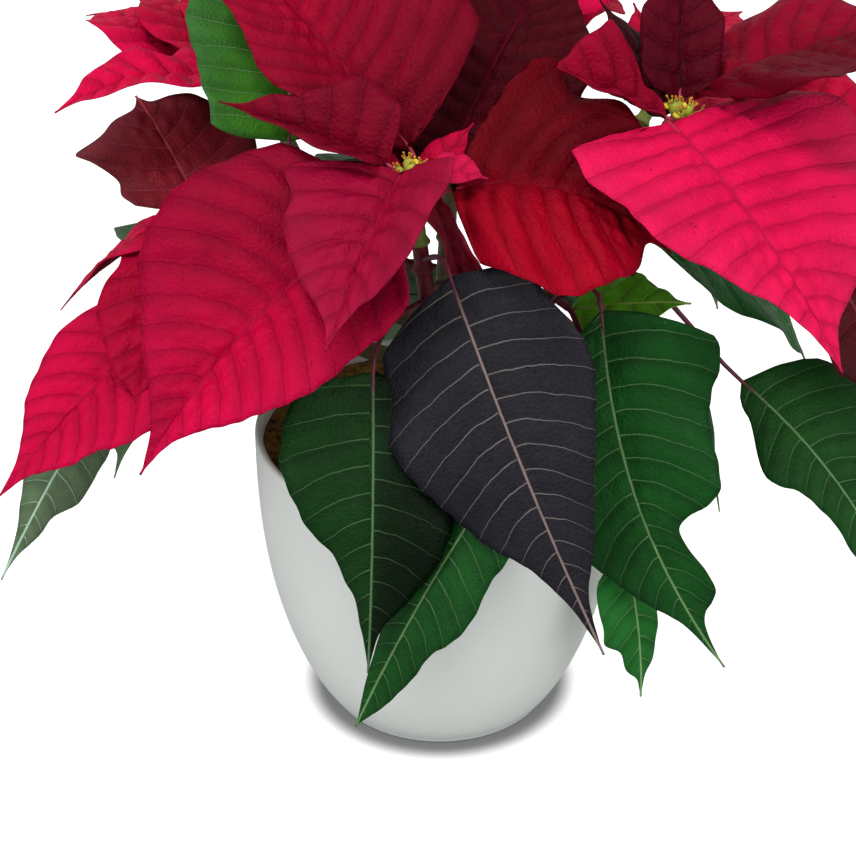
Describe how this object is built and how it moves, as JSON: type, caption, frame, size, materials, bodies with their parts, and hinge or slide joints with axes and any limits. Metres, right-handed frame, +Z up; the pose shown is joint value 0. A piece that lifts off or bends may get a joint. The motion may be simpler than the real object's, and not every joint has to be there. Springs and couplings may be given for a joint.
{
  "type": "poinsettia",
  "caption": "Poinsettia plant with rosettes of pointed red bracts over green leaves, growing in an egg-shaped white pot.",
  "frame": {"origin": "middle of the pot's foot, on the floor", "axes": "+Z up, -Y towards the viewer of the picture, +X to the right"},
  "size_m": [0.3606, 0.3164, 0.3011],
  "materials": {
    "pot": "satin",
    "soil": "matte",
    "wood": "matte",
    "leaf": "satin",
    "bract": "matte",
    "flower": "satin"
  },
  "bodies": {
    "root": {"pot": "pot", "soil": "soil", "main_stem": "wood", "leafy_stem_front": "leaf", "leafy_stem_right": "leaf", "leafy_stem_left": "leaf", "leafy_stem_back_left": "leaf", "leafy_stem_back": "leaf", "leafy_stem_back_right": "leaf", "bracts_front": "bract", "bracts_right": "bract", "bracts_left": "bract", "bracts_back_left": "bract", "bracts_back": "bract", "bracts_back_right": "bract", "flowers_front": "flower", "flowers_right": "flower", "flowers_left": "flower", "flowers_back_left": "flower", "flowers_back": "flower", "flowers_back_right": "flower"}
  },
  "joints": []
}
